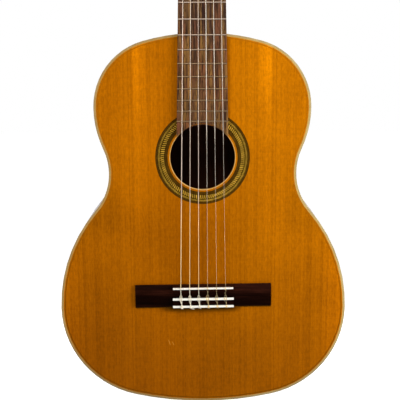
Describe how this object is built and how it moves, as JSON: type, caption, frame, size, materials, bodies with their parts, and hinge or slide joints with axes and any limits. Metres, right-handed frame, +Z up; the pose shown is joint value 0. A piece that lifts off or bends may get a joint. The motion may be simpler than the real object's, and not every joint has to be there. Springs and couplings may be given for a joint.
{
  "type": "classical guitar",
  "caption": "Full-size classical guitar: hollow wooden body with a round sound hole, fretted neck, tie bridge and slotted head whose worm-geared tuning machines wind the strings.",
  "frame": {"origin": "under the head's shoulders just above the nut, in the middle of the neck's thickness, where a wall hanger holds the guitar", "axes": "+Z up the neck to the head, -Y out of the soundboard, +X to the treble side"},
  "size_m": [0.376, 0.1154, 0.9916],
  "materials": {
    "amber_spruce": "gloss varnish",
    "rosette_mosaic": "gloss varnish",
    "cream_purfling": "gloss varnish",
    "brown_binding": "gloss varnish",
    "rosewood_body": "gloss varnish",
    "pale_inlay": "gloss varnish",
    "cedar_lining": "raw",
    "brace_spruce": "raw",
    "bridge_rosewood": "satin",
    "bone": "polished",
    "mahogany": "gloss varnish",
    "head_rosewood": "gloss varnish",
    "fingerboard_rosewood": "satin",
    "fret_metal": "polished",
    "machine_brass": "polished",
    "worm_steel": "polished",
    "pearl_plastic": "gloss",
    "roller_plastic": "gloss",
    "plain_nylon": "gloss",
    "wound_string": "satin"
  },
  "bodies": {
    "guitar": {"soundboard": "amber_spruce", "rosette": "rosette_mosaic", "top_purfling": "cream_purfling", "top_binding": "brown_binding", "rib_bass": "rosewood_body", "rib_treble": "rosewood_body", "tail_graft": "brown_binding", "back": "rosewood_body", "back_strip": "pale_inlay", "back_binding": "brown_binding", "top_lining": "cedar_lining", "back_lining": "cedar_lining", "neck_block": "cedar_lining", "tail_block": "cedar_lining", "fan_braces": "brace_spruce", "harmonic_bars": "brace_spruce", "back_bars": "brace_spruce", "bridge": "bridge_rosewood", "saddle": "bone", "tie_block_caps": "bone", "neck": "mahogany", "heel_cap": "rosewood_body", "headstock": "mahogany", "head_veneer": "head_rosewood", "fingerboard": "fingerboard_rosewood", "frets": "fret_metal", "nut": "bone", "plate_bass": "machine_brass", "plate_treble": "machine_brass", "plate_screws": "machine_brass", "string_1": "plain_nylon", "string_2": "plain_nylon", "string_3": "plain_nylon", "string_4": "wound_string", "string_5": "wound_string", "string_6": "wound_string"},
    "peg_1": {"worm_1": "worm_steel", "button_1": "pearl_plastic"},
    "spindle_1": {"gear_1": "machine_brass", "roller_1": "roller_plastic"},
    "peg_2": {"worm_2": "worm_steel", "button_2": "pearl_plastic"},
    "spindle_2": {"gear_2": "machine_brass", "roller_2": "roller_plastic"},
    "peg_3": {"worm_3": "worm_steel", "button_3": "pearl_plastic"},
    "spindle_3": {"gear_3": "machine_brass", "roller_3": "roller_plastic"},
    "peg_4": {"worm_4": "worm_steel", "button_4": "pearl_plastic"},
    "spindle_4": {"gear_4": "machine_brass", "roller_4": "roller_plastic"},
    "peg_5": {"worm_5": "worm_steel", "button_5": "pearl_plastic"},
    "spindle_5": {"gear_5": "machine_brass", "roller_5": "roller_plastic"},
    "peg_6": {"worm_6": "worm_steel", "button_6": "pearl_plastic"},
    "spindle_6": {"gear_6": "machine_brass", "roller_6": "roller_plastic"}
  },
  "joints": [
    {"name": "peg_turn_1", "type": "hinge", "parent": "guitar", "child": "peg_1", "pos_m": [0.0417, 0.00839, 0.03053], "axis": [0, -0.9781, 0.2079], "continuous": true},
    {"name": "spindle_turn_1", "type": "hinge", "parent": "guitar", "child": "spindle_1", "pos_m": [0.0417, 0.0102, 0.03904], "axis": [1, 0, 0], "continuous": true},
    {"name": "peg_turn_2", "type": "hinge", "parent": "guitar", "child": "peg_2", "pos_m": [0.0417, 0.01567, 0.06476], "axis": [0, -0.9781, 0.2079], "continuous": true},
    {"name": "spindle_turn_2", "type": "hinge", "parent": "guitar", "child": "spindle_2", "pos_m": [0.0417, 0.01748, 0.07327], "axis": [1, 0, 0], "continuous": true},
    {"name": "peg_turn_3", "type": "hinge", "parent": "guitar", "child": "peg_3", "pos_m": [0.0417, 0.02294, 0.099], "axis": [0, -0.9781, 0.2079], "continuous": true},
    {"name": "spindle_turn_3", "type": "hinge", "parent": "guitar", "child": "spindle_3", "pos_m": [0.0417, 0.02475, 0.10751], "axis": [1, 0, 0], "continuous": true},
    {"name": "peg_turn_4", "type": "hinge", "parent": "guitar", "child": "peg_4", "pos_m": [-0.0417, 0.02294, 0.099], "axis": [0, -0.9781, 0.2079], "continuous": true},
    {"name": "spindle_turn_4", "type": "hinge", "parent": "guitar", "child": "spindle_4", "pos_m": [-0.0417, 0.02475, 0.10751], "axis": [1, 0, 0], "continuous": true},
    {"name": "peg_turn_5", "type": "hinge", "parent": "guitar", "child": "peg_5", "pos_m": [-0.0417, 0.01567, 0.06476], "axis": [0, -0.9781, 0.2079], "continuous": true},
    {"name": "spindle_turn_5", "type": "hinge", "parent": "guitar", "child": "spindle_5", "pos_m": [-0.0417, 0.01748, 0.07327], "axis": [1, 0, 0], "continuous": true},
    {"name": "peg_turn_6", "type": "hinge", "parent": "guitar", "child": "peg_6", "pos_m": [-0.0417, 0.00839, 0.03053], "axis": [0, -0.9781, 0.2079], "continuous": true},
    {"name": "spindle_turn_6", "type": "hinge", "parent": "guitar", "child": "spindle_6", "pos_m": [-0.0417, 0.0102, 0.03904], "axis": [1, 0, 0], "continuous": true}
  ],
  "couplings": [
    {"joint": "spindle_turn_1", "follows": "peg_turn_1", "ratio": 0.071429},
    {"joint": "spindle_turn_2", "follows": "peg_turn_2", "ratio": 0.071429},
    {"joint": "spindle_turn_3", "follows": "peg_turn_3", "ratio": 0.071429},
    {"joint": "spindle_turn_4", "follows": "peg_turn_4", "ratio": 0.071429},
    {"joint": "spindle_turn_5", "follows": "peg_turn_5", "ratio": 0.071429},
    {"joint": "spindle_turn_6", "follows": "peg_turn_6", "ratio": 0.071429}
  ]
}
